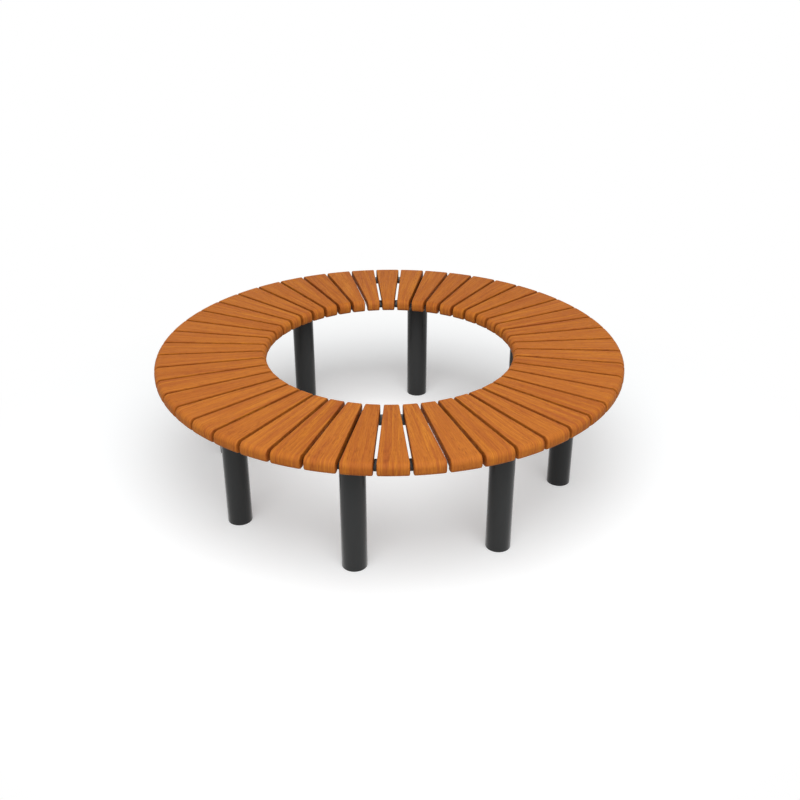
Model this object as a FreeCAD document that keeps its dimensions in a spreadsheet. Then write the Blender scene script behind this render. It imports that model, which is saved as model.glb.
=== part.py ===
import FreeCAD, Part
import math
import os
import Sketcher

# Round tree bench: tapered wooden slats laid like spokes on two flat steel rings,
# which eight radial arms carry on eight round posts. The middle is open for the tree.
# The slats are screwed down from below and the arms are screwed to the posts.
# Millimetres, +Z up, origin on the ground at the centre of the ring.
# The first post stands on +X and every post stands under a gap between two slats.

DRIVING = (
    ("seat_outer_diameter", 1500.0),
    ("seat_inner_diameter", 800.0),
    ("seat_height", 450.0),
    ("slat_count", 48),
    ("slat_gap", 10.0),
    ("slat_thickness", 25.0),
    ("nose_depth", 40.0),
    ("nose_top_radius", 17.0),
    ("nose_foot_bevel", 9.0),
    ("nose_clearance", 1.0),
    ("ring_width", 50.0),
    ("ring_thickness", 10.0),
    ("ring_inset", 50.0),
    ("ring_section_count", 2),
    ("splice_gap", 1.0),
    ("arm_width", 44.0),
    ("arm_thickness", 10.0),
    ("arm_inset", 2.0),
    ("leg_count", 8),
    ("leg_diameter", 76.1),
    ("leg_wall", 3.2),
    ("foot_thickness", 8.0),
    ("anchor_thread_diameter", 12.0),
    ("head_plate_ear", 37.0),
    ("head_plate_margin", 4.0),
    ("head_plate_thickness", 10.0),
)

# Two places closer than this, in millimetres, are the same place.
SAME_PLACE = 0.01

doc = FreeCAD.newDocument("tree_bench")
sheet = doc.addObject("Spreadsheet::Sheet", "sizes")
for row, (alias, number) in enumerate(DRIVING, start=1):
    sheet.set(f"A{row}", alias)
    sheet.set(f"B{row}", str(number))
    sheet.setAlias(f"B{row}", alias)
doc.recompute()


def cell(alias):
    return f"sizes.{alias}"


def size(alias):
    return float(getattr(sheet, alias))


# Sizes that follow from the driving ones, as text that the features are bound to.
OUTER_RADIUS = f"{cell('seat_outer_diameter')} / 2"
INNER_RADIUS = f"{cell('seat_inner_diameter')} / 2"
HALF_PITCH = f"(180 / {cell('slat_count')})"
EDGE_SHIFT = f"({cell('slat_gap')} / 2 / cos({HALF_PITCH}))"
OUTER_HALF_WIDTH = f"({OUTER_RADIUS} * sin({HALF_PITCH}) - {cell('slat_gap')} / 2)"
SLAT_OUTER_END = f"sqrt(({OUTER_RADIUS}) ^ 2 - {OUTER_HALF_WIDTH} ^ 2)"
SLAT_INNER_END = f"({INNER_RADIUS})"
SLAT_UNDERSIDE = f"({cell('seat_height')} - {cell('slat_thickness')})"
NOSE_UNDERSIDE = f"({cell('seat_height')} - {cell('nose_depth')})"
INNER_RING_RADIUS = f"({INNER_RADIUS} + {cell('ring_inset')})"
OUTER_RING_RADIUS = f"({OUTER_RADIUS} - {cell('ring_inset')})"
RING_UNDERSIDE = f"({SLAT_UNDERSIDE} - {cell('ring_thickness')})"
ARM_UNDERSIDE = f"({RING_UNDERSIDE} - {cell('arm_thickness')})"
LEG_HEIGHT = f"({ARM_UNDERSIDE} - {cell('head_plate_thickness')})"
LEG_CIRCLE_RADIUS = f"(({INNER_RING_RADIUS} + {OUTER_RING_RADIUS}) / 2)"
LEG_RADIUS = f"({cell('leg_diameter')} / 2)"
LEG_BORE_RADIUS = f"({LEG_RADIUS} - {cell('leg_wall')})"


def plane_of(body, role):
    return [item for item in body.Origin.OriginFeatures if item.Role == role][0]


def new_body(name):
    body = doc.addObject("PartDesign::Body", name)
    body.Label = name
    body.AllowCompound = True
    return body


def new_sketch(body, name, role="XY_Plane", height=None):
    sketch = body.newObject("Sketcher::SketchObject", name)
    sketch.AttachmentSupport = [(plane_of(body, role), "")]
    sketch.MapMode = "FlatFace"
    if height:
        sketch.setExpression("AttachmentOffset.Base.z", height)
    return sketch


def bind(sketch, constraint, name, formula):
    index = sketch.addConstraint(constraint)
    sketch.renameConstraint(index, name)
    sketch.setExpression(f"Constraints.{name}", formula)


def add_circle(sketch, name, centre_formula, radius_formula, guess):
    """One circle on the X axis, or round the origin where no centre is given."""
    centre, radius = guess
    circle = Part.Circle(FreeCAD.Vector(centre, 0, 0), FreeCAD.Vector(0, 0, 1), radius)
    item = sketch.addGeometry(circle, False)
    bind(sketch, Sketcher.Constraint("Radius", item, radius), f"{name}_radius", radius_formula)
    if centre_formula is None:
        sketch.addConstraint(Sketcher.Constraint("Coincident", item, 3, -1, 1))
        return
    across = Sketcher.Constraint("DistanceX", -1, 1, item, 3, centre)
    bind(sketch, across, f"{name}_centre", centre_formula)
    sketch.addConstraint(Sketcher.Constraint("PointOnObject", item, 3, -1))


def add_polygon(sketch, corners):
    """A closed polygon: each corner is (x, y, x formula, y formula), measured from the origin."""
    count = len(corners)
    first = sketch.GeometryCount
    for index in range(count):
        here, there = corners[index], corners[(index + 1) % count]
        line = Part.LineSegment(
            FreeCAD.Vector(here[0], here[1], 0),
            FreeCAD.Vector(there[0], there[1], 0),
        )
        sketch.addGeometry(line, False)
    for index in range(count):
        following = first + (index + 1) % count
        sketch.addConstraint(Sketcher.Constraint("Coincident", first + index, 2, following, 1))
    for index, (x, y, x_formula, y_formula) in enumerate(corners):
        corner = first + index
        across = Sketcher.Constraint("DistanceX", -1, 1, corner, 1, x)
        along = Sketcher.Constraint("DistanceY", -1, 1, corner, 1, y)
        bind(sketch, across, f"corner_{corner}_x", x_formula)
        bind(sketch, along, f"corner_{corner}_y", y_formula)


def add_rectangle(sketch, low, high, guess):
    """A rectangle from two opposite corners, given as formulas with a first guess."""
    (x_low, y_low), (x_high, y_high) = low, high
    left, bottom, right, top = guess
    add_polygon(sketch, (
        (left, bottom, x_low, y_low),
        (right, bottom, x_high, y_low),
        (right, top, x_high, y_high),
        (left, top, x_low, y_high),
    ))


def pad(body, name, sketch, length):
    feature = body.newObject("PartDesign::Pad", name)
    feature.Profile = sketch
    feature.setExpression("Length", length)
    return feature


def cut_through(body, name, sketch):
    feature = body.newObject("PartDesign::Pocket", name)
    feature.Profile = sketch
    feature.Type = "ThroughAll"
    feature.SideType = "Symmetric"
    return feature


def turn_around(body, name, originals, count):
    feature = body.newObject("PartDesign::PolarPattern", name)
    feature.Originals = originals
    feature.Axis = (plane_of(body, "Z_Axis"), [""])
    feature.Angle = 360
    feature.setExpression("Occurrences", count)
    body.Tip = feature
    return feature


def edges_across(base, at_x, at_z):
    """The edges that lie straight across the piece at one x and one height."""
    doc.recompute()
    names = []
    for number, edge in enumerate(base.Shape.Edges, start=1):
        box = edge.BoundBox
        on_x = max(abs(box.XMin - at_x), abs(box.XMax - at_x)) < SAME_PLACE
        on_z = max(abs(box.ZMin - at_z), abs(box.ZMax - at_z)) < SAME_PLACE
        if on_x and on_z:
            names.append(f"Edge{number}")
    return (base, names)


def round_edges(body, name, edges, radius):
    feature = body.newObject("PartDesign::Fillet", name)
    feature.Base = edges
    feature.setExpression("Radius", radius)
    return feature


def bevel_edges(body, name, edges, width):
    feature = body.newObject("PartDesign::Chamfer", name)
    feature.Base = edges
    feature.setExpression("Size", width)
    return feature


def place_copy(master, name, angle):
    """A copy of a finished piece, turned about the bench's axis."""
    copy = doc.addObject("PartDesign::Body", name)
    copy.Label = name
    base = doc.addObject("PartDesign::FeatureBase", f"{name}_base")
    copy.Group = [base]
    base.BaseFeature = master
    copy.Tip = base
    copy.Placement.Rotation = FreeCAD.Rotation(FreeCAD.Vector(0, 0, 1), 0)
    copy.setExpression("Placement.Rotation.Angle", angle)
    return copy


# Slat: a tapered board whose sides stay parallel to the neighbouring gaps.
# The underside is relieved between two noses, which hang over the rings and hide them.
def half_width_at(x_formula):
    return f"({x_formula} * tan({HALF_PITCH}) - {EDGE_SHIFT})"


def make_slat():
    body = new_body("slat_master")
    half_pitch = math.radians(180 / size("slat_count"))
    outer = size("seat_outer_diameter") / 2
    inner = size("seat_inner_diameter") / 2
    height = size("seat_height")
    outer_half = outer * math.sin(half_pitch) - size("slat_gap") / 2
    outer_end = math.sqrt(outer ** 2 - outer_half ** 2)
    shift = size("slat_gap") / 2 / math.cos(half_pitch)
    inner_half = inner * math.tan(half_pitch) - shift
    plan = new_sketch(body, "slat_plan", height=NOSE_UNDERSIDE)
    wide = half_width_at(SLAT_OUTER_END)
    narrow = half_width_at(SLAT_INNER_END)
    add_polygon(plan, (
        (inner, -inner_half, SLAT_INNER_END, f"-{narrow}"),
        (outer_end, -outer_half, SLAT_OUTER_END, f"-{wide}"),
        (outer_end, outer_half, SLAT_OUTER_END, wide),
        (inner, inner_half, SLAT_INNER_END, narrow),
    ))
    pad(body, "slat_board", plan, cell("nose_depth"))
    relief = new_sketch(body, "slat_relief_profile", "XZ_Plane")
    reach = f"({cell('ring_width')} / 2 + {cell('nose_clearance')})"
    low = (f"({INNER_RING_RADIUS} - {reach})", f"({NOSE_UNDERSIDE} - {cell('nose_clearance')})")
    high = (f"({OUTER_RING_RADIUS} + {reach})", SLAT_UNDERSIDE)
    half_ring = size("ring_width") / 2 + size("nose_clearance")
    add_rectangle(relief, low, high, (
        inner + size("ring_inset") - half_ring,
        height - size("nose_depth") - size("nose_clearance"),
        outer - size("ring_inset") + half_ring,
        height - size("slat_thickness"),
    ))
    last = cut_through(body, "slat_relief", relief)
    top, bottom = height, height - size("nose_depth")
    for end, at_x in (("outer", outer_end), ("inner", inner)):
        upper = edges_across(last, at_x, top)
        last = round_edges(body, f"{end}_nose_round", upper, cell("nose_top_radius"))
        lower = edges_across(last, at_x, bottom)
        last = bevel_edges(body, f"{end}_nose_bevel", lower, cell("nose_foot_bevel"))
    return body


# Rings: flat bars laid flat under both ends of the slats. Each is in half circles that meet
# over an arm, so that the bench closes round a standing tree.
def make_ring(name, centre, centre_guess):
    body = new_body(name)
    bar = new_sketch(body, f"{name}_plan", height=RING_UNDERSIDE)
    half = size("ring_width") / 2
    for edge, sign, way in (("inside", "-", -1), ("outside", "+", 1)):
        radius = f"{centre} {sign} {cell('ring_width')} / 2"
        add_circle(bar, edge, None, radius, (0, centre_guess + way * half))
    pad(body, f"{name}_bar", bar, cell("ring_thickness"))
    slot = new_sketch(body, f"{name}_splice_plan")
    low = (f"{centre} - {cell('ring_width')}", f"-{cell('splice_gap')} / 2")
    high = (f"{centre} + {cell('ring_width')}", f"{cell('splice_gap')} / 2")
    gap = size("splice_gap") / 2
    add_rectangle(slot, low, high, (centre_guess - 2 * half, -gap, centre_guess + 2 * half, gap))
    cut = cut_through(body, f"{name}_splice", slot)
    turn_around(body, f"{name}_splices", [cut], cell("ring_section_count"))
    return body


# Arms: one flat bar under each pair of ring crossings, flat on the head plate of its post.
def make_arms(inner_guess, outer_guess):
    body = new_body("support_arms")
    plan = new_sketch(body, "arm_plan", height=ARM_UNDERSIDE)
    reach = f"({cell('ring_width')} / 2 - {cell('arm_inset')})"
    half_reach = size("ring_width") / 2 - size("arm_inset")
    half_width = size("arm_width") / 2
    low = (f"{INNER_RING_RADIUS} - {reach}", f"-{cell('arm_width')} / 2")
    high = (f"{OUTER_RING_RADIUS} + {reach}", f"{cell('arm_width')} / 2")
    guess = (inner_guess - half_reach, -half_width, outer_guess + half_reach, half_width)
    add_rectangle(plan, low, high, guess)
    bar = pad(body, "arm_bar", plan, cell("arm_thickness"))
    turn_around(body, "arms", [bar], cell("leg_count"))
    return body


# Post: a round tube with a tapped foot disc welded inside and a head plate welded on top.
def make_leg(centre):
    body = new_body("leg_master")
    outside = size("leg_diameter") / 2
    inside = outside - size("leg_wall")
    tube = new_sketch(body, "leg_tube_plan")
    add_circle(tube, "outside", LEG_CIRCLE_RADIUS, LEG_RADIUS, (centre, outside))
    add_circle(tube, "bore", LEG_CIRCLE_RADIUS, LEG_BORE_RADIUS, (centre, inside))
    pad(body, "leg_tube", tube, LEG_HEIGHT)
    foot = new_sketch(body, "leg_foot_plan")
    add_circle(foot, "disc", LEG_CIRCLE_RADIUS, LEG_BORE_RADIUS, (centre, inside))
    thread = size("anchor_thread_diameter") / 2
    add_circle(foot, "thread", LEG_CIRCLE_RADIUS, f"{cell('anchor_thread_diameter')} / 2",
               (centre, thread))
    pad(body, "leg_foot", foot, cell("foot_thickness"))
    plate = new_sketch(body, "leg_head_plan", height=LEG_HEIGHT)
    reach = f"({LEG_RADIUS} + {cell('head_plate_ear')})"
    side = f"({LEG_RADIUS} + {cell('head_plate_margin')})"
    half_length = outside + size("head_plate_ear")
    half_width = outside + size("head_plate_margin")
    low = (f"{LEG_CIRCLE_RADIUS} - {reach}", f"-{side}")
    high = (f"{LEG_CIRCLE_RADIUS} + {reach}", side)
    guess = (centre - half_length, -half_width, centre + half_length, half_width)
    add_rectangle(plate, low, high, guess)
    pad(body, "leg_head_plate", plate, cell("head_plate_thickness"))
    return body


def build():
    inner_guess = size("seat_inner_diameter") / 2 + size("ring_inset")
    outer_guess = size("seat_outer_diameter") / 2 - size("ring_inset")
    pieces = []
    slat = make_slat()
    for index in range(int(size("slat_count"))):
        angle = f"({index} + 0.5) * 360 / {cell('slat_count')}"
        pieces.append(place_copy(slat, f"slat_{index + 1:02d}", angle))
    leg = make_leg((inner_guess + outer_guess) / 2)
    for index in range(int(size("leg_count"))):
        angle = f"{index} * 360 / {cell('leg_count')}"
        pieces.append(place_copy(leg, f"leg_{index + 1}", angle))
    pieces.append(make_ring("inner_ring", INNER_RING_RADIUS, inner_guess))
    pieces.append(make_ring("outer_ring", OUTER_RING_RADIUS, outer_guess))
    pieces.append(make_arms(inner_guess, outer_guess))
    doc.recompute()
    return pieces


def check(pieces):
    for item in doc.Objects:
        if "Invalid" in item.State or "Error" in item.State:
            raise RuntimeError(f"{item.Label}: {item.State}")
    for piece in pieces:
        if piece.Shape.isNull() or not piece.Shape.isValid() or not piece.Shape.Solids:
            raise RuntimeError(f"{piece.Label} has no valid solid")


pieces = build()
check(pieces)
os.makedirs("parts", exist_ok=True)
for piece in pieces:
    piece.Shape.exportStep(f"parts/{piece.Label}.step")
print(f"{len(pieces)} nodes, {sum(len(piece.Shape.Solids) for piece in pieces)} solids")
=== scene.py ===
import logging
import math
import random
from dataclasses import dataclass, field
from enum import Enum
from typing import Sequence

import bmesh
import bpy
from mathutils import Matrix, Vector


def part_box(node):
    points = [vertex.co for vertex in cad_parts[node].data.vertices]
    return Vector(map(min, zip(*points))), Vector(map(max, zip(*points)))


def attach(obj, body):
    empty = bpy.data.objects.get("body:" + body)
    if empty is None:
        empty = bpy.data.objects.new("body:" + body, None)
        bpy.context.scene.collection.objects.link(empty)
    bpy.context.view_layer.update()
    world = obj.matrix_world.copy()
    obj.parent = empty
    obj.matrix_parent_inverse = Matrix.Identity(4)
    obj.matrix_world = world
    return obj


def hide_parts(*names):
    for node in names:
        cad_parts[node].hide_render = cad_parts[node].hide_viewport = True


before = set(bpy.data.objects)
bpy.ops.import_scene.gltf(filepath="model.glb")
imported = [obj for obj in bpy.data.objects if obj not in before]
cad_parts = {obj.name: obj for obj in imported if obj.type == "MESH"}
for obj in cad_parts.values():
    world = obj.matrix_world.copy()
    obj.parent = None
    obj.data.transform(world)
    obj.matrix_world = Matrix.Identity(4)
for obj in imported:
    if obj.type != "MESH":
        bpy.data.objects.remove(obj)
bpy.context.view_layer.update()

log = logging.getLogger("tree_bench")

Socket = bpy.types.NodeSocket
# A paint is written in 0 to 255, and a tint in the linear light that a shader takes.
Paint = tuple[int, int, int]
Tint = tuple[float, float, float, float]
Triple = tuple[float, float, float]
Profile = list[tuple[float, float]]

# Lengths are in metres and angles in radians unless a name says degrees.
MM = 0.001
FULL_TURN = 2 * math.pi
# Two places closer than this are the same place.
SAME_PLACE = 0.01 * MM


class Way(Enum):
    """One of two opposite ways, as a sign."""

    FORTH = 1
    BACK = -1


class Blend(Enum):
    """How one colour goes over another."""

    COVER = "MIX"
    SHADE = "MULTIPLY"


class Sum(Enum):
    """How two levels are combined."""

    TIMES = "MULTIPLY"
    LESS = "SUBTRACT"
    LARGER = "MAXIMUM"


@dataclass(frozen=True)
class Ramp:
    """A range of a level, and what its two ends become."""

    low: float
    high: float
    at_low: float = 0.0
    at_high: float = 1.0


@dataclass(frozen=True)
class Speckle:
    """Noise that is stretched differently along each axis, and the range of it that shows."""

    per_metre: Triple
    detail: float
    ramp: Ramp = Ramp(0.0, 1.0)
    smear: float = 0.0


@dataclass(frozen=True)
class Round:
    """The radius of a rounded edge, and how many flats go round it."""

    radius: float
    flats: int


def written(paint: Paint) -> Tint:
    """Turn a colour written in 0 to 255 into the linear colour that a shader takes.

    Args:
        paint: Red, green and blue, 0 to 255.

    Returns:
        Linear red, green and blue from 0 to 1, and an alpha of 1.
    """
    levels = [level / 255 for level in paint]
    red, green, blue = (level / 12.92 if level <= 0.04045 else ((level + 0.055) / 1.055) ** 2.4
                        for level in levels)
    return red, green, blue, 1.0


@dataclass
class ShaderBench:
    """The nodes of a material or of the world, with short calls to add and join them."""

    owner: bpy.types.ID

    def __post_init__(self) -> None:
        """Start with no nodes."""
        self.owner.use_nodes = True
        self.owner.node_tree.nodes.clear()

    def feed(self, target: Socket, value: object) -> None:
        """Give an input what it works with.

        Args:
            target: The input.
            value: An output, a node for its first output, or a plain value.
        """
        if isinstance(value, bpy.types.Node):
            value = value.outputs[0]
        if isinstance(value, Socket):
            self.owner.node_tree.links.new(value, target)
        else:
            target.default_value = value

    def add(self, kind: str, *values: object, **settings: object) -> bpy.types.Node:
        """Add one node.

        Args:
            kind: The node's type, without the leading ShaderNode.
            values: What goes into its first inputs, in order.
            settings: Properties of the node, or inputs, whose names have _ for a space.

        Returns:
            The new node.
        """
        node = self.owner.node_tree.nodes.new(f"ShaderNode{kind}")
        for target, value in zip(node.inputs, values):
            self.feed(target, value)
        for name, value in settings.items():
            if name in node.bl_rna.properties:
                setattr(node, name, value)
            else:
                self.feed(node.inputs[name.replace("_", " ")], value)
        return node

    def noise(self, where: Socket, speckle: Speckle) -> Socket:
        """Add a speckle's noise, before its ramp.

        Args:
            where: The coordinates that the noise lies on.
            speckle: The size and kind of the noise.

        Returns:
            The noise's level, about 0.25 to 0.75.
        """
        mapping = self.add("Mapping", where, Scale=speckle.per_metre)
        return self.add("TexNoise", mapping, Scale=1.0, Detail=speckle.detail,
                        Distortion=speckle.smear).outputs["Fac"]

    def between(self, level: Socket, ramp: Ramp) -> Socket:
        """Stretch a level to another range and stop it at both ends.

        Args:
            level: The level that comes in.
            ramp: The range that is used and the one that it becomes.

        Returns:
            The level that goes out.
        """
        return self.add("MapRange", level, ramp.low, ramp.high, ramp.at_low, ramp.at_high,
                        clamp=True).outputs["Result"]

    def speckled(self, where: Socket, speckle: Speckle) -> Socket:
        """Add a speckle with its ramp."""
        return self.between(self.noise(where, speckle), speckle.ramp)

    def blend(self, share: object, first: object, second: object,
              kind: Blend = Blend.COVER) -> Socket:
        """Mix two colours.

        Args:
            share: How much of the second colour is in the mix.
            first: The first colour as paint, or the output that gives it.
            second: The second colour as paint, or the output that gives it.
            kind: How they are mixed.

        Returns:
            The mixed colour.
        """
        mix = self.add("Mix", share, data_type="RGBA", blend_type=kind.value, clamp_factor=True)
        for target, colour in zip(mix.inputs[6:8], (first, second)):
            self.feed(target, colour if isinstance(colour, Socket) else written(colour))
        return mix.outputs[2]

    def combine(self, first: object, second: object, kind: Sum) -> Socket:
        """Combine two levels, each a number or the output that gives it."""
        return self.add("Math", first, second, operation=kind.value).outputs[0]

    def seen_directly(self) -> Socket:
        """Tell rays that show a surface from rays that only carry its light.

        Returns:
            1 where the camera, a reflection or glass shows the surface, else 0.
        """
        rays = self.add("LightPath").outputs
        share = self.combine(rays["Is Camera Ray"], rays["Is Glossy Ray"], Sum.LARGER)
        return self.combine(share, rays["Is Transmission Ray"], Sum.LARGER)

    def finish(self, kind: str, surface: bpy.types.Node) -> bpy.types.ID:
        """Join the surface to an output of a kind, and hand over what is finished."""
        self.add(kind, surface)
        return self.owner


@dataclass(frozen=True)
class OiledHardwood:
    """Oiled orange-brown hardwood, with painted shade on the board sides down in the gaps. The
    grain runs along, across and down through each board.
    """

    grain_layer: str = "board_grain"
    tone_layer: str = "board_tone"
    painted_shade_layer: str = "board_painted_shade"
    honey: Paint = (209, 130, 46)
    body: Paint = (194, 115, 46)
    russet: Paint = (173, 94, 43)
    pore: Paint = (120, 52, 28)
    pale_board: Paint = (255, 255, 255)
    deep_board: Paint = (246, 241, 236)
    # Painted shade: this colour darkens the long sides of each board down in the gaps between
    # slats, where shade falls.
    painted_gap_shade: Paint = (226, 220, 205)
    streaks: Speckle = Speckle((3.6, 92.0, 26.0), 3.0, Ramp(0.37, 0.63), 0.4)
    ring_spacing: float = 9 * MM
    ring_stretch: Triple = (0.22, 1.0, 1.0)
    ring_waviness: float = 5.0
    ring_detail: float = 3.0
    ring_detail_scale: float = 0.6
    ring_share: Ramp = Ramp(0.0, 1.0, 0.12, 0.52)
    calm: Speckle = Speckle((1.5, 12.0, 5.0), 1.0, Ramp(0.42, 0.62, 0.0, 0.55))
    fibres: Speckle = Speckle((10.0, 420.0, 130.0), 2.0, Ramp(0.44, 0.60, 0.0, 0.44))
    fibre_depth: float = 0.12 * MM
    fibre_strength: float = 0.35
    flecks: Speckle = Speckle((44.0, 270.0, 140.0), 2.0, Ramp(0.52, 0.70, 0.0, 0.44))
    clusters: Speckle = Speckle((6.0, 34.0, 14.0), 1.0, Ramp(0.42, 0.66, 0.30, 1.0))
    pores: Speckle = Speckle((48.0, 1150.0, 600.0), 1.0, Ramp(0.57, 0.66))
    pore_darkness: float = 0.34
    pore_depth: float = 0.18 * MM
    pore_strength: float = 0.4
    roughness: Ramp = Ramp(0.3, 0.7, 0.53, 0.70)
    ior: float = 1.45
    gloss_level: float = 0.09

    def material(self) -> bpy.types.Material:
        """Build the wood.

        Returns:
            The material.
        """
        bench = ShaderBench(bpy.data.materials.new("oiled_hardwood"))
        grain = bench.add("Attribute", attribute_name=self.grain_layer).outputs["Vector"]
        tone = bench.add("Attribute", attribute_name=self.tone_layer).outputs["Fac"]
        # The mask of the painted shade in the gaps between the boards.
        gap = bench.add("Attribute", attribute_name=self.painted_shade_layer).outputs["Fac"]
        fibres = bench.noise(grain, self.fibres)
        pores = bench.speckled(grain, self.pores)
        flecks = bench.combine(bench.speckled(grain, self.flecks),
                               bench.speckled(grain, self.clusters), Sum.TIMES)
        colour = bench.blend(bench.between(fibres, self.fibres.ramp), self.figured(bench, grain),
                             self.russet)
        colour = bench.blend(flecks, colour, self.pore)
        dark = bench.combine(pores, self.pore_darkness, Sum.TIMES)
        colour = bench.blend(dark, colour, self.pore)
        shade = bench.blend(tone, self.deep_board, self.pale_board)
        colour = bench.blend(1.0, colour, shade, Blend.SHADE)
        # Painted shade between the boards: the gap walls are darkened in the colour itself.
        colour = bench.blend(gap, colour, self.painted_gap_shade, Blend.SHADE)
        relief = bench.add("Bump", self.fibre_strength, self.fibre_depth, Height=fibres)
        relief = bench.add("Bump", self.pore_strength, self.pore_depth, Normal=relief,
                           Height=bench.combine(1.0, pores, Sum.LESS))
        return bench.finish("OutputMaterial", bench.add(
            "BsdfPrincipled", Base_Color=colour, Roughness=bench.between(fibres, self.roughness),
            IOR=self.ior, Specular_IOR_Level=self.gloss_level, Normal=relief))

    def figured(self, bench: ShaderBench, grain: Socket) -> Socket:
        """Mix the wood's colour from streaks, growth rings and calm patches.

        Args:
            bench: The material's nodes.
            grain: Coordinates along, across and down through the board.

        Returns:
            The colour, still without fibres and pores.
        """
        colour = bench.blend(bench.speckled(grain, self.streaks), self.russet, self.honey)
        mapping = bench.add("Mapping", grain, Scale=self.ring_stretch)
        # The rings go round a pith outside the board. At a scale of 1 they are pi / 10 apart.
        rings = bench.add("TexWave", mapping, wave_type="RINGS", rings_direction="X",
                          Scale=math.pi / 10 / self.ring_spacing, Distortion=self.ring_waviness,
                          Detail=self.ring_detail, Detail_Scale=self.ring_detail_scale)
        share = bench.between(rings.outputs["Fac"], self.ring_share)
        colour = bench.blend(share, colour, self.body)
        return bench.blend(bench.speckled(grain, self.calm), colour, self.body)


@dataclass(frozen=True)
class PowderCoat:
    """Semi-gloss anthracite powder coat, faintly mottled and dimpled."""

    colour: Paint = (61, 62, 62)
    mottle: Paint = (58, 59, 59)
    blotches: Speckle = Speckle((9.0, 9.0, 3.0), 3.0, Ramp(0.35, 0.65))
    roughness: Ramp = Ramp(0.3, 0.7, 0.05, 0.13)
    dimples: Speckle = Speckle((620.0, 620.0, 620.0), 1.0)
    dimple_depth: float = 0.04 * MM
    dimple_strength: float = 0.2
    ior: float = 1.5
    gloss_level: float = 0.14

    def material(self) -> bpy.types.Material:
        """Build the coating.

        Returns:
            The material.
        """
        bench = ShaderBench(bpy.data.materials.new("powder_coat"))
        where = bench.add("TexCoord").outputs["Object"]
        blotches = bench.noise(where, self.blotches)
        colour = bench.blend(bench.between(blotches, self.blotches.ramp), self.mottle, self.colour)
        relief = bench.add("Bump", self.dimple_strength, self.dimple_depth,
                           Height=bench.noise(where, self.dimples))
        return bench.finish("OutputMaterial", bench.add(
            "BsdfPrincipled", Base_Color=colour, Roughness=bench.between(blotches, self.roughness),
            IOR=self.ior, Specular_IOR_Level=self.gloss_level, Normal=relief))


@dataclass(frozen=True)
class ZincPlate:
    """Bright zinc plate on bolts, washers and screws, with a faint cloudiness."""

    bright: Paint = (198, 199, 202)
    dull: Paint = (160, 162, 168)
    clouds: Speckle = Speckle((240.0, 240.0, 240.0), 3.0, Ramp(0.35, 0.65))
    roughness: Ramp = Ramp(0.3, 0.7, 0.26, 0.44)

    def material(self) -> bpy.types.Material:
        """Build the plating.

        Returns:
            The material.
        """
        bench = ShaderBench(bpy.data.materials.new("zinc_plate"))
        clouds = bench.noise(bench.add("TexCoord").outputs["Object"], self.clouds)
        colour = bench.blend(bench.between(clouds, self.clouds.ramp), self.dull, self.bright)
        return bench.finish("OutputMaterial", bench.add(
            "BsdfPrincipled", Base_Color=colour, Roughness=bench.between(clouds, self.roughness),
            Metallic=1.0))


@dataclass(frozen=True)
class StudioPaint:
    """White floor that shows the bench's soft shadow and goes over into white further out."""

    white: Tint = (1.0, 1.0, 1.0, 1.0)
    paint: Tint = (0.758, 0.772, 0.779, 1.0)
    bounce: Tint = (0.52, 0.52, 0.52, 1.0)
    glow: float = 0.33
    shadow_reach: float = 1.05
    all_white: float = 1.60

    def material(self) -> bpy.types.Material:
        """Build the floor.

        Returns:
            The material.
        """
        bench = ShaderBench(bpy.data.materials.new("studio_floor"))
        where = bench.add("TexCoord").outputs["Object"]
        distance = bench.add("VectorMath", where, operation="LENGTH").outputs["Value"]
        outward = bench.between(distance, Ramp(self.shadow_reach, self.all_white))
        near = bench.add("AddShader", bench.add("BsdfDiffuse", self.paint),
                         bench.add("Emission", self.white, self.glow))
        seen = bench.add("MixShader", outward, near, bench.add("Emission", self.white, 1.0))
        both = bench.add("MixShader", bench.seen_directly(),
                         bench.add("BsdfDiffuse", self.bounce), seen)
        return bench.finish("OutputMaterial", both)


@dataclass(frozen=True)
class Finish:
    """A finished material, and the record's slot for it where the record has one."""

    material: bpy.types.Material
    slot: str = ""


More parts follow.
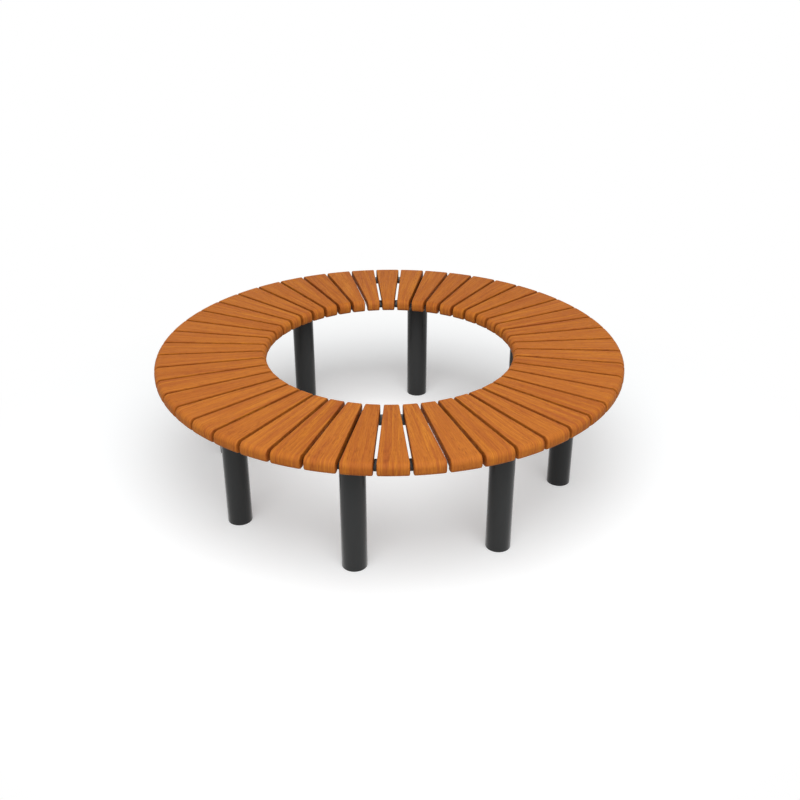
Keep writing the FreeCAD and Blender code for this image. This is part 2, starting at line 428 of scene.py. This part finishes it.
@dataclass
class Workpiece:
    """A mesh that is shaped, step by step, into a finished piece."""

    mesh: bmesh.types.BMesh = field(default_factory=bmesh.new)
    merge_distance: float = 0.001 * MM
    sharp_degrees: float = 50.0
    faces_down: float = -0.5

    @classmethod
    def block(cls, size: Triple, centre: Triple) -> "Workpiece":
        """Make a plain block.

        Args:
            size: Its length along X, Y and Z.
            centre: The place of its centre.

        Returns:
            The block.
        """
        made = cls()
        bmesh.ops.create_cube(made.mesh, size=1.0, matrix=Matrix.LocRotScale(centre, None, size))
        return made

    @classmethod
    def rod(cls, lower_radius: float, upper_radius: float, length: float, top: float,
            flats: int) -> "Workpiece":
        """Make a straight or tapered rod round the Z axis.

        Args:
            lower_radius: The radius of its lower end.
            upper_radius: The radius of its upper end.
            length: Its length.
            top: The height of its upper end.
            flats: How many flats go round it.

        Returns:
            The rod.
        """
        made = cls()
        bmesh.ops.create_cone(made.mesh, cap_ends=True, cap_tris=False, segments=flats,
                              radius1=lower_radius, radius2=upper_radius, depth=length,
                              matrix=Matrix.Translation((0, 0, top - length / 2)))
        return made

    @classmethod
    def turned(cls, profile: Profile, flats: int) -> "Workpiece":
        """Turn a closed profile right round the Z axis, as on a lathe.

        Args:
            profile: Its corners as radius and height, all off the axis.
            flats: How many flats make the turn.

        Returns:
            The turned solid.
        """
        made = cls()
        corners = [made.mesh.verts.new((radius, 0.0, height)) for radius, height in profile]
        edges = [made.mesh.edges.new(pair) for pair in zip(corners, corners[1:] + corners[:1])]
        bmesh.ops.spin(made.mesh, geom=corners + edges, cent=(0, 0, 0), axis=(0, 0, 1),
                       angle=FULL_TURN, steps=flats, use_merge=True, use_duplicate=False)
        made.face_outwards()
        return made

    @classmethod
    def gathered(cls, parts: Sequence["Workpiece"], places: Sequence[Matrix]) -> "Workpiece":
        """Lay copies of some parts at several places, all as one workpiece.

        Args:
            parts: The parts, which are copied.
            places: Where each of them goes.

        Returns:
            The copies together.
        """
        made = cls()
        loose = bpy.data.meshes.new("loose_part")
        for place in places:
            for part in parts:
                part.mesh.to_mesh(loose)
                loose.transform(place)
                made.mesh.from_mesh(loose)
        bpy.data.meshes.remove(loose)
        return made

    def turn(self, angle: float, axis: str = "Z") -> None:
        """Turn the whole workpiece about an axis through the origin."""
        self.mesh.transform(Matrix.Rotation(angle, 4, axis))

    def face_outwards(self) -> None:
        """Merge what coincides, then point every face outwards."""
        bmesh.ops.remove_doubles(self.mesh, verts=self.mesh.verts, dist=self.merge_distance)
        bmesh.ops.recalc_face_normals(self.mesh, faces=self.mesh.faces)

    def edges_along(self, axis: int) -> list[bmesh.types.BMEdge]:
        """Find the edges that run along an axis, 0 for X to 2 for Z, for over a millimetre."""
        return [edge for edge in self.mesh.edges
                if abs(edge.verts[0].co[axis] - edge.verts[1].co[axis]) > 1 * MM]

    def soften(self, edges: Sequence[bmesh.types.BMEdge], size: Round) -> None:
        """Round some edges."""
        bmesh.ops.bevel(self.mesh, geom=list(edges), offset=size.radius, offset_type="OFFSET",
                        segments=size.flats, profile=0.5, affect="EDGES", material=-1,
                        clamp_overlap=True)

    def soften_sharp(self, size: Round) -> None:
        """Round every sharp edge.

        Args:
            size: The size of the rounds.
        """
        self.mesh.normal_update()
        least = math.radians(self.sharp_degrees)
        self.soften([edge for edge in self.mesh.edges
                     if len(edge.link_faces) == 2 and edge.calc_face_angle(0.0) > least], size)
        self.face_outwards()

    def step_underside(self, steps: Sequence[tuple[float, float]]) -> None:
        """Step the underside in from its edge, and up or down.

        Args:
            steps: The width of each step, and how far all that lies inside it then moves up.
        """
        self.mesh.normal_update()
        lowest = [face for face in self.mesh.faces if face.normal.z < self.faces_down]
        for width, rise in steps:
            bmesh.ops.inset_individual(self.mesh, faces=lowest, thickness=width, depth=0.0)
            for face in lowest:
                bmesh.ops.translate(self.mesh, vec=(0, 0, rise), verts=face.verts)
        self.face_outwards()

    def finished(self, name: str, finish: Finish, nodes: Sequence[str] = (),
                 crease_degrees: float = 38.0) -> bpy.types.Object:
        """Turn the workpiece into a finished piece that rides on the bench, and free its mesh.

        Args:
            name: The piece's name.
            finish: Its finish.
            nodes: The CAD nodes that the piece stands for.
            crease_degrees: Faces that meet at less than this are shaded as one.

        Returns:
            The piece.
        """
        piece = self.shown(name, finish.material)
        piece.data.shade_smooth()
        piece.data.set_sharp_from_angle(angle=math.radians(crease_degrees))
        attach(piece, "root")
        if nodes:
            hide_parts(*nodes)
        log.info("%s: %d faces", name, len(piece.data.polygons))
        return piece

    def shown(self, name: str, material: bpy.types.Material) -> bpy.types.Object:
        """Show the workpiece in the scene, and free its mesh.

        Args:
            name: The name of the object and of its mesh.
            material: What it is made of.

        Returns:
            The object.
        """
        mesh = bpy.data.meshes.new(name)
        self.mesh.to_mesh(mesh)
        self.mesh.free()
        mesh.materials.append(material)
        return placed(name, mesh)


def placed(name: str, data: bpy.types.ID) -> bpy.types.Object:
    """Put an object in the scene that shows a mesh, a lamp or a camera.

    Args:
        name: The object's name.
        data: The mesh, lamp or camera.

    Returns:
        The object, at the origin.
    """
    made = bpy.data.objects.new(name, data)
    bpy.context.scene.collection.objects.link(made)
    return made


@dataclass
class Layout:
    """Sizes that several sub-assemblies share, named here or read from the CAD nodes."""

    slat_count: int = 48
    post_count: int = 8
    outer_radius: float = 750 * MM
    inner_radius: float = 400 * MM
    slat_gap: float = 10 * MM
    ring_inset: float = 50 * MM
    ring_width: float = 50 * MM
    ring_joint: float = 14 * MM
    arm_inset: float = 2 * MM
    arm_width: float = 44 * MM

    def __post_init__(self) -> None:
        """Read the heights of the stack from the CAD nodes."""
        self.nose_bottom, self.seat_top = (corner.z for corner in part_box("slat_01"))
        self.ring_bottom, self.ring_top = (corner.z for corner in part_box("outer_ring"))
        self.arm_bottom, self.arm_top = (corner.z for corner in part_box("support_arms"))
        self.post_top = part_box("leg_1")[1].z

    @property
    def inner_ring_radius(self) -> float:
        """The inner ring's middle line."""
        return self.inner_radius + self.ring_inset

    @property
    def outer_ring_radius(self) -> float:
        """The outer ring's middle line."""
        return self.outer_radius - self.ring_inset

    @property
    def post_radius(self) -> float:
        """The circle that the posts stand on."""
        return (self.inner_ring_radius + self.outer_ring_radius) / 2

    def post_angle(self, index: float) -> float:
        """The angle of a post, counted from 0. Half-way numbers lie between two posts."""
        return FULL_TURN * index / self.post_count

    def slat_angle(self, index: int) -> float:
        """The angle of a slat's middle line, counted from 0."""
        return FULL_TURN * (index + 0.5) / self.slat_count

    def joint_angle(self, index: int) -> float:
        """The angle of a joint between half rings, midway between two posts, counted from 0."""
        return self.post_angle(self.post_count / 4 + 0.5) + math.pi * index

    def on_spoke(self, angle: float, place: Triple = (0, 0, 0)) -> Matrix:
        """Where a part goes that has its place along +X and is then turned to an angle."""
        return Matrix.Rotation(angle, 4, "Z") @ Matrix.Translation(place)


@dataclass
class SubAssembly:
    """Pieces that are built to the same layout and have the same finish."""

    layout: Layout
    finish: Finish


@dataclass
class SlatSeat(SubAssembly):
    """The seat: tapered slats laid like spokes, each with two noses and rounded long edges."""

    nose_top: Round = Round(17 * MM, 10)
    nose_foot: Round = Round(14 * MM, 7)
    nose_clearance: float = 1 * MM
    edge: Round = Round(2.8 * MM, 4)
    end_corner_radius: float = 5 * MM
    scores: tuple[float, ...] = (-0.93, -0.84, -0.7, -0.35, 0.0, 0.35, 0.7, 0.84, 0.93)
    grain_lean_degrees: float = 2.2
    log_reach: float = 40.0
    log_shift: float = 50 * MM
    pith_depth: float = 70 * MM
    pith_spread: tuple[float, float] = (0.5, 1.5)
    seed: int = 48

    @property
    def half_pitch(self) -> float:
        """Half the angle from one slat to the next."""
        return math.pi / self.layout.slat_count

    @property
    def nose_reach(self) -> float:
        """How far the relief under a slat reaches past the middle line of a ring."""
        return self.layout.ring_width / 2 + self.nose_clearance

    @property
    def outer_end(self) -> float:
        """Where a slat's outer end lies, so that its corners touch the seat's outline."""
        half = self.layout.outer_radius * math.sin(self.half_pitch) - self.layout.slat_gap / 2
        return math.sqrt(self.layout.outer_radius ** 2 - half ** 2)

    def half_width(self, radius: float) -> float:
        """Half a slat's width at a distance from the middle of the bench."""
        lost = self.layout.slat_gap / 2 / math.cos(self.half_pitch)
        return radius * math.tan(self.half_pitch) - lost

    def blank(self) -> Workpiece:
        """Cut a slat's side outline, with the hollow between its noses, and give it its taper.

        Returns:
            The slat along +X with every edge still sharp.
        """
        lay = self.layout
        inner, outer = lay.inner_radius, self.outer_end
        first = lay.inner_ring_radius - self.nose_reach
        last = lay.outer_ring_radius + self.nose_reach
        outline = (
            (inner, lay.nose_bottom), (first, lay.nose_bottom), (first, lay.ring_top),
            (last, lay.ring_top), (last, lay.nose_bottom), (outer, lay.nose_bottom),
            (outer, lay.seat_top), (inner, lay.seat_top),
        )
        slat = Workpiece()
        side = slat.mesh.faces.new([slat.mesh.verts.new((x, -1.0, z)) for x, z in outline])
        grown = bmesh.ops.extrude_face_region(slat.mesh, geom=[side])["geom"]
        moved = [item for item in grown if isinstance(item, bmesh.types.BMVert)]
        bmesh.ops.translate(slat.mesh, vec=(0, 2, 0), verts=moved)
        for corner in slat.mesh.verts:
            corner.co.y *= self.half_width(corner.co.x)
        slat.face_outwards()
        return slat

    def round_across(self, slat: Workpiece, x: float, z: float, size: Round) -> None:
        """Round the edge that lies across a slat at one place along it and one height.

        Args:
            slat: The slat.
            x: The place along it.
            z: The height.
            size: The size of the round.
        """
        slat.soften([edge for edge in slat.mesh.edges
                     if all(abs(end.co.x - x) < SAME_PLACE and abs(end.co.z - z) < SAME_PLACE
                            for end in edge.verts)], size)

    def shaped(self) -> Workpiece:
        """Round both noses, and then the edges all round both sides.

        Returns:
            The finished slat along +X.
        """
        slat = self.blank()
        for tip in (self.layout.inner_radius, self.outer_end):
            self.round_across(slat, tip, self.layout.seat_top, self.nose_top)
            self.round_across(slat, tip, self.layout.nose_bottom, self.nose_foot)
        # The two long sides are the faces with the most corners.
        most = max(len(face.verts) for face in slat.mesh.faces)
        slat.soften([edge for edge in slat.mesh.edges
                     if any(len(face.verts) == most for face in edge.link_faces)], self.edge)
        slat.face_outwards()
        self.bend_ends(slat)
        return slat

    def bend_ends(self, slat: Workpiece) -> None:
        """Bend both ends to the seat's round outlines and round their corners seen from above.

        Args:
            slat: The slat along +X, with its noses rounded and its ends still straight.
        """
        lay = self.layout
        apex = (lay.slat_gap / 2 / math.sin(self.half_pitch), 0, 0)
        for share in self.scores:
            everything = [*slat.mesh.verts, *slat.mesh.edges, *slat.mesh.faces]
            bmesh.ops.bisect_plane(slat.mesh, geom=everything, plane_co=apex,
                                   plane_no=(-share * math.tan(self.half_pitch), 1, 0))
        reach = self.nose_reach + SAME_PLACE
        outer, inner = self.outer_end, lay.inner_radius
        for corner in slat.mesh.verts:
            x, across = corner.co.x, abs(corner.co.y)
            cut = self.corner_cut(across, self.half_width(x))
            if x > lay.outer_ring_radius + reach:
                corner.co.x += math.sqrt(lay.outer_radius ** 2 - across ** 2) - outer
                corner.co.x -= cut * self.cut_share(outer - x, corner.co.z)
            elif x < lay.inner_ring_radius - reach:
                corner.co.x += math.sqrt(inner ** 2 - across ** 2) - inner
                corner.co.x += cut * self.cut_share(x - inner, corner.co.z)

    def cut_share(self, behind: float, height: float) -> float:
        """How much of the corner's rounding a place on a nose takes.

        Args:
            behind: The distance behind the nose's tip.
            height: The height above the ground.

        Returns:
            1 on the tip and all round below it, less over the top round, and 0 behind that.
        """
        if height < self.layout.seat_top - self.nose_top.radius:
            return 1.0
        return max(0.0, 1 - behind / self.nose_top.radius)

    def corner_cut(self, across: float, half_width: float) -> float:
        """How far a rounded corner stands back from the slat's end.

        Args:
            across: The distance from the slat's middle line.
            half_width: Half the slat's width there.

        Returns:
            The distance along the slat.
        """
        radius = self.end_corner_radius
        over = min(radius, max(0.0, across - half_width + radius))
        return radius - math.sqrt(radius ** 2 - over ** 2)

    def along_face(self, place: Vector) -> Vector:
        """Roll a nose out flat, so that the grain runs on over it as on the real bench.

        Args:
            place: A corner of the slat along +X.

        Returns:
            Its place along the rolled-out face, across the slat, and in height.
        """
        reach = self.nose_top.radius
        level = self.layout.seat_top - reach
        for way, tip in zip(Way, (self.outer_end, self.layout.inner_radius)):
            start = tip - way.value * reach
            over, up = way.value * (place.x - start), place.z - level
            if over <= 0:
                continue
            if up > 0:
                rolled = reach * math.atan2(over, up)
                height = math.hypot(over, up) - reach
            else:
                rolled = reach * math.pi / 2 - up
                height = over - reach
            return Vector((start + way.value * rolled, place.y, self.layout.seat_top + height))
        return place.copy()

    def lay_grain(self, slat: Workpiece, chance: random.Random) -> None:
        """Give every corner its place in the log that the slat was sawn from.

        Args:
            slat: The slat, still along +X.
            chance: The source of the differences between slats.
        """
        layers = slat.mesh.verts.layers
        grain = layers.float_vector.new(OiledHardwood.grain_layer)
        tone = layers.float.new(OiledHardwood.tone_layer)
        gap = layers.float.new(OiledHardwood.painted_shade_layer)
        lean = math.radians(chance.uniform(-1, 1) * self.grain_lean_degrees)
        leaning = Matrix.Rotation(lean, 3, "Z")
        shift = Vector((chance.uniform(-self.log_reach, self.log_reach),
                        chance.uniform(-self.log_shift, self.log_shift),
                        self.pith_depth * chance.uniform(*self.pith_spread)))
        middle = Vector((self.layout.post_radius, 0, self.layout.seat_top))
        level = chance.random()
        for corner in slat.mesh.verts:
            corner[grain] = leaning @ (self.along_face(corner.co) - middle) + shift
            corner[tone] = level
            # Mask of the painted shade in the gaps: 1 on the long sides, fading to 0 over the edge
            # round.
            depth = self.half_width(corner.co.x) - abs(corner.co.y)
            corner[gap] = max(0.0, min(1.0, 1 - 2 * depth / self.edge.radius))

    def build(self) -> list[bpy.types.Object]:
        """Build every slat and stand it in for its CAD node.

        Returns:
            The slats.
        """
        chance = random.Random(self.seed)
        pattern = self.shaped()
        made = []
        for index in range(self.layout.slat_count):
            slat = Workpiece(pattern.mesh.copy())
            self.lay_grain(slat, chance)
            slat.turn(self.layout.slat_angle(index))
            node = f"slat_{index + 1:02d}"
            made.append(slat.finished(f"{node}_board", self.finish, [node]))
        return made


@dataclass
class SeatRings(SubAssembly):
    """The two flat rings under the slats, each in half circles that end between two posts."""

    edge: Round = Round(1.0 * MM, 2)
    halves: int = 2
    flats: int = 96

    def half(self, middle: float, start: float) -> Workpiece:
        """Bend one flat bar through half a turn.

        Args:
            middle: The radius of its middle line.
            start: The angle of the joint that it starts from.

        Returns:
            The bent bar.
        """
        lay = self.layout
        gap = lay.ring_joint / middle
        low, high = lay.ring_bottom, lay.ring_top
        inside, outside = middle - lay.ring_width / 2, middle + lay.ring_width / 2
        bar = Workpiece()
        corners = ((inside, low), (outside, low), (outside, high), (inside, high))
        end = bar.mesh.faces.new([bar.mesh.verts.new((x, 0, z)) for x, z in corners])
        bar.turn(start + gap / 2)
        bmesh.ops.spin(bar.mesh, geom=[end, *end.edges, *end.verts], cent=(0, 0, 0),
                       axis=(0, 0, 1), angle=math.pi - gap, steps=self.flats,
                       use_duplicate=False)
        bar.face_outwards()
        bar.soften_sharp(self.edge)
        return bar

    def build(self) -> list[bpy.types.Object]:
        """Build both halves of both rings.

        Returns:
            The four half rings.
        """
        lay = self.layout
        made = []
        for node, middle in (("inner_ring", lay.inner_ring_radius),
                             ("outer_ring", lay.outer_ring_radius)):
            for index in range(self.halves):
                bar = self.half(middle, lay.joint_angle(index))
                made.append(bar.finished(f"{node}_half_{index + 1}", self.finish, [node]))
        return made


@dataclass
class SupportArms(SubAssembly):
    """The flat arms between the rings, one over each post, and the welds that hold the rings."""

    corner: Round = Round(6 * MM, 4)
    edge: Round = Round(1.0 * MM, 2)
    end_cut: float = 15 * MM
    bead_radius: float = 2.6 * MM
    bead_length: float = 44 * MM
    bead_flats: int = 12
    bead_ripples: int = 15
    bead_sections_per_ripple: int = 4
    bead_ripple_share: float = 0.10
    bead_end_share: float = 0.35
    bead_end_steepness: float = 14.0
    bead_crease_degrees: float = 60.0

    def bar(self) -> Workpiece:
        """Make one arm along +X, its ends cut on the slant below so that the rings hide them.

        Returns:
            The arm.
        """
        lay = self.layout
        reach = lay.ring_width / 2 - lay.arm_inset
        start, end = lay.inner_ring_radius - reach, lay.outer_ring_radius + reach
        half_way_up = (lay.arm_bottom + lay.arm_top) / 2
        arm = Workpiece.block((end - start, lay.arm_width, lay.arm_top - lay.arm_bottom),
                              ((start + end) / 2, 0, half_way_up))
        for corner in arm.mesh.verts:
            if corner.co.z < half_way_up:
                corner.co.x += self.end_cut if corner.co.x < lay.post_radius else -self.end_cut
        arm.soften(arm.edges_along(2), self.corner)
        arm.soften_sharp(self.edge)
        return arm

    def bead(self) -> Workpiece:
        """Make one weld bead along +X, rippled as a welder leaves it.

        Returns:
            The bead, centred on the origin.
        """
        bead = Workpiece.rod(self.bead_radius, self.bead_radius, self.bead_length,
                             self.bead_length / 2, self.bead_flats)
        bead.turn(math.pi / 2, "Y")
        bmesh.ops.subdivide_edges(bead.mesh, edges=bead.edges_along(0), use_grid_fill=True,
                                  cuts=self.bead_sections_per_ripple * self.bead_ripples - 1)
        for corner in bead.mesh.verts:
            along = corner.co.x / self.bead_length + 0.5
            wave = abs(math.sin(math.pi * self.bead_ripples * along))
            swell = 1 - self.bead_ripple_share * (1 - wave)
            from_end = max(0.0, min(along, 1 - along))
            rise = math.sqrt(from_end * self.bead_end_steepness)
            taper = min(1.0, rise + self.bead_end_share)
            corner.co.y *= swell * taper
            corner.co.z *= swell * taper
        bead.face_outwards()
        return bead

    def build(self) -> list[bpy.types.Object]:
        """Build the arms, and the beads along both sides of each arm under each ring.

        Returns:
            The arms and the welds.
        """
        lay = self.layout
        bar, bead = self.bar(), self.bead()
        made = []
        for index in range(lay.post_count):
            angle = lay.post_angle(index)
            arm = Workpiece.gathered([bar], [lay.on_spoke(angle)])
            made.append(arm.finished(f"support_arm_{index + 1}", self.finish, ["support_arms"]))
            welds = Workpiece.gathered([bead], [
                lay.on_spoke(angle, (middle, way.value * lay.arm_width / 2, lay.ring_bottom))
                for middle in (lay.inner_ring_radius, lay.outer_ring_radius) for way in Way])
            made.append(welds.finished(f"arm_welds_{index + 1}", self.finish,
                                       crease_degrees=self.bead_crease_degrees))
        return made


@dataclass
class Posts(SubAssembly):
    """The round posts: tube, tapped foot disc, head plate and the weld under the plate."""

    tube_radius: float = 38.05 * MM
    tube_wall: float = 3.2 * MM
    tube_flats: int = 96
    foot_thickness: float = 8 * MM
    foot_edge: float = 1.2 * MM
    foot_edge_fullness: float = 0.3
    anchor_radius: float = 6 * MM
    thread_pitch: float = 1.75 * MM
    thread_depth: float = 0.9 * MM
    plate_ear: float = 37 * MM
    plate_margin: float = 4 * MM
    plate_thickness: float = 10 * MM
    plate_corner: Round = Round(8 * MM, 5)
    plate_edge: Round = Round(0.8 * MM, 2)
    weld_leg: float = 4.5 * MM
    weld_root: float = 1 * MM
    weld_rounds: int = 5
    weld_flats: int = 144
    weld_ripples: int = 48
    weld_ripple_depth: float = 0.25 * MM

    @property
    def plate_bottom(self) -> float:
        """The underside of the head plate."""
        return self.layout.post_top - self.plate_thickness

    def threaded_hole(self) -> Profile:
        """Trace the tapped hole in the foot disc from its top down.

        Returns:
            The profile as radius and height.
        """
        turns = int(self.foot_thickness / self.thread_pitch)
        margin = (self.foot_thickness - turns * self.thread_pitch) / 2
        points = [(self.anchor_radius + margin, self.foot_thickness)]
        for index in range(turns):
            top = self.foot_thickness - margin - index * self.thread_pitch
            points.append((self.anchor_radius, top))
            points.append((self.anchor_radius - self.thread_depth, top - self.thread_pitch / 2))
        return points + [(self.anchor_radius, margin), (self.anchor_radius + margin, 0.0)]

    def tube(self) -> Workpiece:
        """Turn the tube and its foot disc as one profile.

        Returns:
            The tube, round the Z axis.
        """
        outside = self.tube_radius
        bore = outside - self.tube_wall
        eased = self.foot_edge * self.foot_edge_fullness
        return Workpiece.turned(self.threaded_hole() + [
            (outside - self.foot_edge, 0.0),
            (outside - eased, eased),
            (outside, self.foot_edge),
            (outside, self.plate_bottom),
            (bore, self.plate_bottom),
            (bore, self.foot_thickness),
        ], self.tube_flats)

    def plate_weld(self) -> Workpiece:
        """Turn the weld between the tube and the head plate, slightly rippled.

        Returns:
            The weld, round the Z axis.
        """
        outside, top = self.tube_radius, self.plate_bottom
        root = outside - self.weld_root
        profile = [(root, top), (root, top - self.weld_leg)]
        for index in range(self.weld_rounds + 1):
            angle = math.pi / 2 * index / self.weld_rounds
            profile.append((outside + self.weld_leg * math.sin(angle),
                            top - self.weld_leg * math.cos(angle)))
        weld = Workpiece.turned(profile, self.weld_flats)
        for corner in weld.mesh.verts:
            spread = math.hypot(corner.co.x, corner.co.y)
            if spread > outside:
                wave = math.sin(self.weld_ripples * math.atan2(corner.co.y, corner.co.x))
                scale = max(outside, spread + self.weld_ripple_depth * wave) / spread
                corner.co.x *= scale
                corner.co.y *= scale
        return weld

    def head_plate(self) -> Workpiece:
        """Make the head plate with rounded corners.

        Returns:
            The plate, with its middle on the Z axis.
        """
        size = (2 * (self.tube_radius + self.plate_ear),
                2 * (self.tube_radius + self.plate_margin), self.plate_thickness)
        plate = Workpiece.block(size, (0, 0, self.plate_bottom + self.plate_thickness / 2))
        plate.soften(plate.edges_along(2), self.plate_corner)
        plate.soften_sharp(self.plate_edge)
        return plate

    def build(self) -> list[bpy.types.Object]:
        """Build the posts with their head plates and welds.

        Returns:
            The pieces.
        """
        lay = self.layout
        parts = (("tube", self.tube(), True), ("plate_weld", self.plate_weld(), False),
                 ("head_plate", self.head_plate(), True))
        made = []
        for index in range(lay.post_count):
            node = f"leg_{index + 1}"
            place = lay.on_spoke(lay.post_angle(index), (lay.post_radius, 0, 0))
            for part, pattern, stands_in in parts:
                piece = Workpiece.gathered([pattern], [place])
                made.append(piece.finished(f"{node}_{part}", self.finish,
                                           [node] if stands_in else ()))
        return made


@dataclass
class Fasteners(SubAssembly):
    """Bolts that hold the arms to the posts, and the slats' wood screws."""

    posts: Posts
    head_across: float = 13 * MM
    head_height: float = 5.3 * MM
    head_rim: float = 0.9 * MM
    head_dome: float = 0.4 * MM
    shank_length: float = 20 * MM
    shank_radius: float = 4 * MM
    shank_flats: int = 16
    thread_pitch: float = 1.25 * MM
    thread_depth: float = 0.65 * MM
    thread_turns: int = 5
    washer_radius: float = 8 * MM
    washer_thickness: float = 1.6 * MM
    washer_edge: float = 0.2 * MM
    washer_flats: int = 24
    screw_radius: float = 4.0 * MM
    screw_face_radius: float = 2.88 * MM
    screw_height: float = 2.4 * MM
    screw_dome: float = 0.35 * MM
    screw_flats: int = 12
    socket_radius: float = 1.9 * MM
    socket_edge: float = 0.05 * MM
    socket_depth: float = 1.5 * MM
    crease_degrees: float = 30.0

    def head(self) -> Workpiece:
        """Make a hexagon head that hangs below its washer, with its outer corners eased.

        Returns:
            The head.
        """
        across = self.head_across / math.sqrt(3)
        head = Workpiece.rod(across, across, self.head_height, -self.washer_thickness, 6)
        head.step_underside([(self.head_rim, -self.head_dome)])
        return head

    def washer(self) -> Workpiece:
        """Turn the washer, whose clamped face is at the origin.

        Returns:
            The washer.
        """
        edge, thin, far = self.washer_edge, self.washer_thickness, self.washer_radius
        return Workpiece.turned([(edge, -thin), (far - edge, -thin), (far, edge - thin),
                                 (far, -edge), (far - edge, 0), (edge, 0)], self.washer_flats)

    def shank(self) -> Workpiece:
        """Turn the shank, which points up from the head and ends in a thread.

        Returns:
            The shank.
        """
        near, low = self.washer_edge, -self.washer_thickness
        top = self.shank_length - self.washer_thickness
        root = self.shank_radius - self.thread_depth
        profile = [(near, low), (self.shank_radius, low)]
        for index in range(self.thread_turns):
            height = top - (self.thread_turns - index) * self.thread_pitch
            profile.append((self.shank_radius, height))
            profile.append((root, height + self.thread_pitch / 2))
        return Workpiece.turned(profile + [(root, top), (near, top)], self.shank_flats)

    def post_bolts(self) -> list[bpy.types.Object]:
        """Set two bolts through each head plate, up into its arm.

        Returns:
            One piece per post.
        """
        lay = self.layout
        bolt = (self.head(), self.washer(), self.shank())
        reach = self.posts.tube_radius + self.posts.plate_ear / 2
        made = []
        for index in range(lay.post_count):
            pair = Workpiece.gathered(bolt, [
                lay.on_spoke(lay.post_angle(index), (lay.post_radius + way.value * reach, 0,
                                                     self.posts.plate_bottom)) for way in Way])
            made.append(pair.finished(f"post_bolts_{index + 1}", self.finish,
                                      crease_degrees=self.crease_degrees))
        return made

    def screw(self) -> Workpiece:
        """Make the domed head of a wood screw with a socket, hanging below the origin.

        Returns:
            The screw head.
        """
        head = Workpiece.rod(self.screw_face_radius, self.screw_radius, self.screw_height, 0.0,
                             self.screw_flats)
        head.step_underside([(self.screw_face_radius - self.socket_radius, -self.screw_dome),
                             (self.socket_edge, self.socket_depth)])
        return head

    def wood_screws(self) -> list[bpy.types.Object]:
        """Set one screw per slat up through each ring.

        Returns:
            One piece per ring.
        """
        lay = self.layout
        head = self.screw()
        made = []
        for name, middle in (("inner", lay.inner_ring_radius), ("outer", lay.outer_ring_radius)):
            ring = Workpiece.gathered([head], [
                lay.on_spoke(lay.slat_angle(index), (middle, 0, lay.ring_bottom))
                for index in range(lay.slat_count)])
            made.append(ring.finished(f"{name}_slat_screws", self.finish,
                                      crease_degrees=self.crease_degrees))
        return made

    def build(self) -> list[bpy.types.Object]:
        """Build every bolt and screw."""
        return self.post_bolts() + self.wood_screws()


@dataclass
class Studio:
    """Plain white studio: a floor, a soft dome, one large soft lamp and the camera."""

    floor_radius: float = 30.0
    floor_flats: int = 96
    floor_drop: float = 0.05 * MM
    dome_strength: float = 0.25
    lamp_power: float = 500.0
    lamp_size: float = 8.1
    lamp_place: Triple = (0.73, -3.18, 5.74)
    lamp_aim: Triple = (0.0, 0.0, 0.4)
    camera_place: Triple = (0.5351, -2.8422, 1.7392)
    camera_heading_degrees: float = 10.00
    camera_pitch_degrees: float = 27.204
    camera_focal_length: float = 43.72
    film_width: float = 36.0
    view_reach: float = 200.0

    def floor(self) -> None:
        """Lay a round floor that reaches past the horizon of the view."""
        disc = Workpiece()
        bmesh.ops.create_circle(disc.mesh, cap_ends=True, segments=self.floor_flats,
                                radius=self.floor_radius,
                                matrix=Matrix.Translation((0, 0, -self.floor_drop)))
        disc.shown("studio_floor", StudioPaint().material())

    def dome(self) -> None:
        """Light the scene evenly from all round, and show white where nothing else is seen."""
        bench = ShaderBench(bpy.data.worlds.new("studio_dome"))
        light = bench.add("Background", StudioPaint.white, self.dome_strength)
        white = bench.add("Background", StudioPaint.white, 1.0)
        both = bench.add("MixShader", bench.seen_directly(), light, white)
        bpy.context.scene.world = bench.finish("OutputWorld", both)

    def lamp(self) -> None:
        """Hang the large soft lamp in front of the bench, aimed at the seat."""
        data = bpy.data.lights.new("soft_lamp", "AREA")
        data.shape = "DISK"
        data.size = self.lamp_size
        data.energy = self.lamp_power
        lamp = placed("soft_lamp", data)
        lamp.location = self.lamp_place
        aim = Vector(self.lamp_aim) - Vector(self.lamp_place)
        lamp.rotation_euler = aim.to_track_quat("-Z", "Y").to_euler()

    def camera(self) -> None:
        """Set the camera where the photograph was taken from."""
        data = bpy.data.cameras.new("photograph_view")
        data.sensor_width = self.film_width
        data.lens = self.camera_focal_length
        data.clip_end = self.view_reach
        camera = placed("photograph_view", data)
        camera.location = self.camera_place
        camera.rotation_euler = (math.radians(90 - self.camera_pitch_degrees), 0.0,
                                 math.radians(self.camera_heading_degrees))
        bpy.context.scene.camera = camera

    def build(self) -> None:
        """Set up the whole studio."""
        bpy.context.scene.view_settings.view_transform = "Standard"
        self.camera()
        self.floor()
        self.dome()
        self.lamp()


def main() -> None:
    """Build the studio and then the bench, from the ground up."""
    logging.basicConfig(level=logging.INFO, format="%(name)s: %(message)s")
    Studio().build()
    layout = Layout()
    wood = Finish(OiledHardwood().material(), "oiled_hardwood")
    coat = Finish(PowderCoat().material(), "coated_steel")
    zinc = Finish(ZincPlate().material())
    posts = Posts(layout, coat)
    for assembly in (posts, SupportArms(layout, coat), SeatRings(layout, coat),
                     Fasteners(layout, zinc, posts), SlatSeat(layout, wood)):
        log.info("%s: %d pieces", type(assembly).__name__, len(assembly.build()))


if __name__ == "__main__":
    main()
